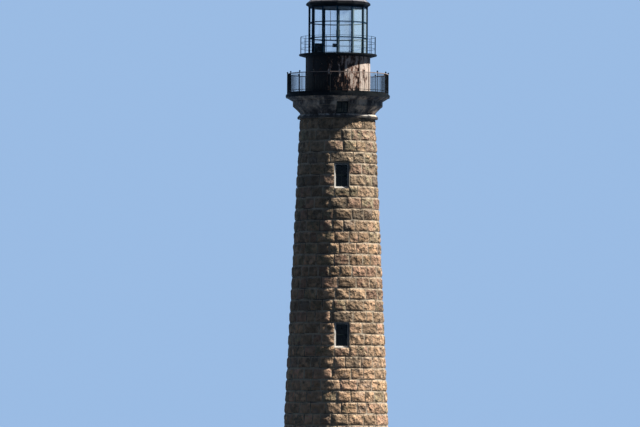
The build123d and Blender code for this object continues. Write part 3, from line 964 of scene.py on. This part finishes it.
def turned_copies(name, draw, slot, sides=(0.0,), crease=math.radians(20)):
    """A piece drawn at the front, copied around the tower to each of the given angles."""
    shape = bmesh.new()
    draw(shape)
    bmesh.ops.recalc_face_normals(shape, faces=shape.faces)
    first = shape.verts[:] + shape.edges[:] + shape.faces[:]
    for side in sides[1:]:
        copied = bmesh.ops.duplicate(shape, geom=first)["geom"]
        corners = [part for part in copied if isinstance(part, bmesh.types.BMVert)]
        bmesh.ops.rotate(shape, verts=corners, cent=(0, 0, 0), matrix=Matrix.Rotation(side, 3, "Z"))
    return finished(poured(name, shape), slot, crease)


# %% Casings, sashes and panes of the shaft windows
front_and_back = (0.0, math.pi)
casing_faces = (2.758, 2.3075)  # how far the casings' fronts stand from the axis, lower and upper
casing = ((0, 0), (0.010, 0), (0.014, 0.004), (0.096, 0.062), (0.11, 0.062), (0.11, 0.10), (0, 0.10))
sash_half, sash_rise, sash_width = 0.34, 0.11, 0.042
sash = ((0, 0.008), (0.006, 0), (0.034, 0), (sash_width, 0.010), (sash_width, 0.03), (0, 0.03))
sash_depth, glass_depth, glass_rear, glass_inset = 0.052, 0.068, 0.074, 0.02
sash_bar_half = 0.011
sash_places = [
    (face, low, high)
    for face, (foot, head) in zip(casing_faces, window_levels)
    for low, high in ((foot + sash_rise, (foot + head) / 2), ((foot + head) / 2, head - sash_rise))
]


def draw_casings(shape):
    for face, (foot, head) in zip(casing_faces, window_levels):
        mitred(shape, window_half, foot, head, -face, casing)


def draw_sashes(shape):
    half = sash_bar_half
    for face, low, high in sash_places:
        mitred(shape, sash_half, low, high, sash_depth - face, sash)
        low, high = low + sash_width, high - sash_width
        bars(shape, face, (-half, half, low, high, sash_depth, glass_depth, 0.004))


def draw_panes(shape):
    half = sash_half - glass_inset
    for face, low, high in sash_places:
        low, high = low + glass_inset, high - glass_inset
        bars(shape, face, (-half, half, low, high, glass_depth, glass_rear, 0.001))


casings = turned_copies("window_casings", draw_casings, "window_paint", front_and_back)
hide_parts("shaft_window_frames")
turned_copies("window_sashes", draw_sashes, "small_window_paint", front_and_back)
panes = turned_copies("window_panes", draw_panes, "window_glass", front_and_back)
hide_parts("shaft_window_panes")

# %% Bars of the small cornice windows
quarter_turns = [full_turn / 4 * side for side in range(4)]
small_half, small_foot, small_head, small_face = 0.305, 25.66, 26.24, 2.19
upright_half, cross_half = 0.012, 0.011


def draw_small_bars(shape):
    bars(shape, small_face, (-upright_half, upright_half, small_foot, small_head, 0.006, 0.044, 0.005))
    middle = (small_foot + small_head) / 2
    for left, right in ((-small_half, -upright_half), (upright_half, small_half)):
        row = (left, right, middle - cross_half, middle + cross_half, 0.010, 0.044, 0.005)
        bars(shape, small_face, row)


turned_copies("cornice_window_bars", draw_small_bars, "small_window_paint", quarter_turns)

# %% [markdown]
# ## Belt and cornice
# These are fine dressed: the faces are true, the joints thin. Grooves cut into the solids would be the
# usual way, but the tree that made the shaft can make these blocks too: with almost no swell, along an
# outline that goes up the neck, out with the flare and on to the gallery's edge.

# %% Dressed stones of the belt and the cornice
dressed_sizes = {
    "Margin": 0.012, "Set back": 0.008, "Edge rise": 0.0, "Tilt": 0.0, "Roughness": 0.004,
    "Scoops": 0.0, "Lump size": 0.25, "Joint depth": 0.03, "Furthest": 9.0,
}
dressed_depth = 0.014
cornice_foot = 25.60
cornice_outline = (
    (cornice_foot, 2.250), (25.66, 2.250), (25.776, 2.354), (25.887, 2.464), (25.991, 2.579),
    (26.09, 2.700), (26.39, 2.700), (26.62, 3.080),
)
cornice_courses = (
    (cornice_foot, 26.09, 2.45, 0.80), (26.09, 26.39, 2.70, 1.0), (26.39, 26.62, 2.9, 1.3),
)
small_opening_half, small_opening_head = 0.365, 26.30
small_openings = [(angle, small_opening_half, cornice_foot, small_opening_head) for angle in quarter_turns]


def dressed_swell():
    """How far a dressed face stands out, in metres, the same for every stone."""
    return 0.002


cornice_tree = stone_tree("cornice_stones", cornice_outline)
row = (cornice_tree, "cut_granite", dressed_sizes, cornice_courses, small_openings, dressed_swell)
built("cornice_blocks", *row)
quarters = [f"cornice_{side}" for side in ("front", "right", "back", "left")]
mortar_core("cornice_core", quarters, cornice_outline, dressed_depth)

belt_radius = 2.420
belt_outline = ((shaft_head, belt_radius), (25.46, belt_radius), (cornice_foot, 2.290))
belt_courses = [(shaft_head, cornice_foot, belt_radius, 1.1)]
belt_tree = stone_tree("belt_stones", belt_outline)
belt, _ = built("belt_blocks", belt_tree, "cut_granite", dressed_sizes, belt_courses, [], dressed_swell)
belt.data.materials[0] = finishes["limed_granite"]
mortar_core("belt_course_core", ["belt_course"], belt_outline, dressed_depth)

# %% [markdown]
# ## Bolts
# Each cover strip of the watch room is bolted to the plates on both sides of its seam, and both decks
# have a row of bolts around the edge. A bolt is a small thing that comes hundreds of times, so a bump
# could do from afar, but it would throw no shadow. One bolt of a few dozen faces, a washer and a hexagon
# on it, is made in the tree and put on points, turned to face away from the tower's axis.


# %% The tree that sets bolts on points
def bolt_tree():
    """Nodes that stand a hexagon bolt with a washer on every point of a start mesh."""
    tree, given = open_tree("bolts", ["Head radius", "Head height"])
    radius, tall = given["Head radius"], given["Head height"]
    row = {"Vertices": 6, "Radius Top": radius * 0.86, "Radius Bottom": radius, "Depth": tall * 1.5}
    head = put(tree, "GeometryNodeMeshCone", row)
    row = {"Vertices": 12, "Radius": radius * 1.5, "Depth": tall}
    washer = put(tree, "GeometryNodeMeshCylinder", row)
    bolt = tree.nodes.new("GeometryNodeJoinGeometry")
    for piece in (head, washer):
        tree.links.new(piece.socket, bolt.inputs[0])
    east, north, _ = put(tree, "GeometryNodeInputPosition").parts()
    away = put(tree, "ShaderNodeCombineXYZ", [east, north, 0.0])
    turned = put(tree, "FunctionNodeAlignRotationToVector", {"Vector": away}, axis="Z")
    row = {"Points": given["Start"], "Instance": Wire(tree, bolt.outputs[0]), "Rotation": turned}
    return close_tree(tree, put(tree, "GeometryNodeInstanceOnPoints", row), given["Finish"])


def places(name, spots):
    """A start mesh of loose points, each an angle, a distance from the axis and a height."""
    return plain_mesh(name, [around(*spot) for spot in spots])


# %% Bolts of the watch room's cover strips
watch_foot, watch_head = 26.80, 29.06
strip_face, bolt_to_seam = 1.957, 0.020
bolt_rows, first_bolt = 16, 0.07
vented_strips, vent_foot, vent_head = {11, 0, 5, 6}, 26.86, 27.32  # no bolts under the hoods of the vents
bolt_pitch = (watch_head - watch_foot - 2 * first_bolt) / (bolt_rows - 1)
bolts = bolt_tree()
spots = []
for n in range(plate_count):
    for row in range(bolt_rows):
        height = watch_foot + first_bolt + row * bolt_pitch
        if n in vented_strips and vent_foot < height < vent_head:
            continue
        for side in (-1, 1):
            angle = plate_turn + n * plate_width + side * bolt_to_seam / strip_face
            spots.append((angle, strip_face, height))
sizes = {"Head radius": 0.009, "Head height": 0.008}
grown("watch_room_bolts", places("strips", spots), bolts, "watch_room_paint", **sizes)

# %% Bolts around both decks
deck_bolts = (  # how many, distance from the axis, height, and the head's radius and height
    ("lens_gallery_bolts", 72, 2.331, 29.195, 0.013, 0.010),
    ("main_gallery_bolts", 108, 3.121, 26.72, 0.017, 0.012),
)
for name, count, radius, height, head_radius, head_height in deck_bolts:
    spots = [(full_turn * n / count, radius, height) for n in range(count)]
    sizes = {"Head radius": head_radius, "Head height": head_height}
    grown(name, places(f"{name}_places", spots), bolts, "black_iron", **sizes)

# %% [markdown]
# ## Rolls, rails and rings
# The roof's seams are covered by half-round rolls that run from the eave to the crown, and a head rail
# closes the glazing under the ceiling. Twelve cylinders could be turned into place by hand, but all of
# these follow a line. So one tree turns lines into round bars, and the lines are worked out from the
# lantern's twelve corners. The same tree makes the door's ring, the hinges and the lever further on.


# %% The tree that makes round bars along lines
def bar_tree():
    """Nodes that turn the edges of a start mesh into round bars with closed ends."""
    tree, given = open_tree("round_bars", ["Radius"])
    curve = put(tree, "GeometryNodeMeshToCurve", [given["Start"]])
    ring = put(tree, "GeometryNodeCurvePrimitiveCircle", {"Resolution": 10, "Radius": given["Radius"]})
    row = {"Curve": curve, "Profile Curve": ring, "Fill Caps": True}
    return close_tree(tree, put(tree, "GeometryNodeCurveToMesh", row), given["Finish"])


def lines(name, *paths):
    """A start mesh of paths, each joined point to point."""
    corners, edges = [], []
    for path in paths:
        edges += [(len(corners) + n, len(corners) + n + 1) for n in range(len(path) - 1)]
        corners += path
    return plain_mesh(name, corners, edges)


# %% Roof rolls and the head rail of the glazing
lantern_turn, lantern_side = math.radians(-8), full_turn / 12
lantern_corners = [lantern_turn + lantern_side * n for n in range(12)]
eave_corner, eave_top = 1.915, 32.292
crown_corner, crown = 0.165, 33.761
glass_corner, glass_top = 1.725, 32.052
roll_radius, head_rail_radius = 0.022, 0.028
round_bars = bar_tree()
rolls = [
    [around(angle, eave_corner, eave_top), around(angle, crown_corner, crown)] for angle in lantern_corners
]
grown("roof_rolls", lines("rolls", *rolls), round_bars, "roof_paint", Radius=roll_radius)
rails = [
    [around(corner, glass_corner, glass_top) for corner in (angle, angle + lantern_side)]
    for angle in lantern_corners
]
grown("lantern_head_rails", lines("heads", *rails), round_bars, "black_iron", Radius=head_rail_radius)

# %% [markdown]
# ## Doors
# The entrance door is a skin of upright boards with a narrow gap between them, held by two long strap
# hinges and drawn shut with a ring. A painted pattern of lines would look the same from afar, but the gaps
# are deep enough to hold shade, so each board is a piece of wood with planed edges. The gallery's iron
# door has three hinge barrels, a lever and rivets, made by the trees for bars and bolts.

# %% Entrance door
door_half, door_foot, door_head, door_face = 0.385, 0.20, 2.13, 3.009
board_count, board_inset = 6, 0.003


def draw_boards(shape):
    width = 2 * door_half / board_count
    for n in range(board_count):
        left, right = n * width - door_half + board_inset, (n + 1) * width - door_half - board_inset
        bars(shape, door_face, (left, right, door_foot, door_head, 0.012, 0.080, 0.008))


entrance = turned_copies("entrance_boards", draw_boards, "door_paint")
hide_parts("entrance_door")

# %% Straps, lock plate and ring of the entrance
strap_levels, strap_end = (0.55, 1.75), 0.20
strap_half, hinge_half = 0.028, 0.05
lock_plate = (0.25, 0.33, 1.02, 1.22, 0.004, 0.014, 0.003)


def draw_straps(shape):
    left = -door_half
    for level in strap_levels:
        strap = (left, strap_end, level - strap_half, level + strap_half, 0.003, 0.014, 0.003)
        ends = (left - 0.004, left + 0.028)
        hinge = (*ends, level - hinge_half, level + hinge_half, -0.016, 0.012, 0.008)
        bars(shape, door_face, strap, hinge)
    bars(shape, door_face, lock_plate)


turned_copies("entrance_straps", draw_straps, "black_iron")
ring_radius, ring_steps, ring_thickness = 0.055, 16, 0.008
ring_x, ring_y, ring_z = 0.29, -door_face - 0.010, 1.09
turns = [full_turn * n / ring_steps for n in range(ring_steps + 1)]
ring = [(ring_x + ring_radius * math.sin(a), ring_y, ring_z + ring_radius * math.cos(a)) for a in turns]
staple = [(ring_x, 0.008 - door_face, 1.145), (ring_x, -door_face - 0.016, 1.150)]
grown("entrance_ring", lines("ring", ring, staple), round_bars, "black_iron", Radius=ring_thickness)

# %% Fittings of the gallery's door
leaf_radius, leaf_half = 1.948, 0.38
leaf_foot, leaf_head = 26.89, 28.60
leaf_middle = math.radians(169.7)
rivet_inset, rivets_up, rivets_across = 0.035, 16, 7
barrel_levels, barrel_half, barrel_proud = (27.15, 27.75, 28.35), 0.06, 0.006
lever_foot, lever_turn, lever_end = (0.30, 27.72, -0.002), (0.30, 27.72, 0.045), (0.17, 27.71, 0.050)
fitting_radius = 0.011


def on_leaf(across, height, proud=0.0):
    """A spot on the door, so far to the side of its middle and proud of its face."""
    return leaf_middle + across / leaf_radius, leaf_radius + proud, height


side, foot, head = leaf_half - rivet_inset, leaf_foot + rivet_inset, leaf_head - rivet_inset
rises = [foot + (head - foot) * n / rivets_up for n in range(rivets_up + 1)]
steps = [side * (2 * n / rivets_across - 1) for n in range(1, rivets_across)]
spots = [on_leaf(end, rise) for end in (-side, side) for rise in rises]
spots += [on_leaf(step, end) for end in (foot, head) for step in steps]
sizes = {"Head radius": 0.009, "Head height": 0.006}
grown("gallery_door_rivets", places("rivets", spots), bolts, "watch_room_paint", **sizes)

hinge_line = -leaf_half - 0.006
fittings = [
    [on_leaf(hinge_line, level + end, barrel_proud) for end in (-barrel_half, barrel_half)]
    for level in barrel_levels
]
fittings.append([on_leaf(*spot) for spot in (lever_foot, lever_turn, lever_end)])
fittings = lines("hardware", *([around(*spot) for spot in path] for path in fittings))
grown("gallery_door_hardware", fittings, round_bars, "black_iron", Radius=fitting_radius)

# %% [markdown]
# ## The floor
# The tower stands on a plain pale floor. It is far larger than the tower, because the camera is far off,
# and its colour is worked out so that, lit by the key lamp and the fill, it is as bright as the backdrop.
# A floor that glows would match the backdrop too, but it would keep no shadow of the tower.

# %% Floor
floor_radius, floor_sides = 1400.0, 96
floor_bounce = (0.035, 0.045, 0.06, 1)
from_key = key_strength * math.sin(key_height) / math.pi
light_on_floor = [from_key * a + fill_strength * b for a, b in zip(key_colour, fill_colour)]
floor_colour = [seen / light for seen, light in zip(background_colour, light_on_floor)]
shader, spot = new_finish("floor_finish", roughness=1.0, specular_ior_level=0.0)
coat(shader, blend(looked_at(spot.tree), floor_bounce, (*floor_colour, 1)))
edge = [around(full_turn * n / floor_sides, floor_radius, 0.0) for n in range(floor_sides)]
mesh = plain_mesh("floor", edge, faces=[list(range(floor_sides))])
mesh.materials.append(finishes["floor_finish"])
floor = stood("floor", mesh)
print("floor colour", [round(v, 3) for v in floor_colour])
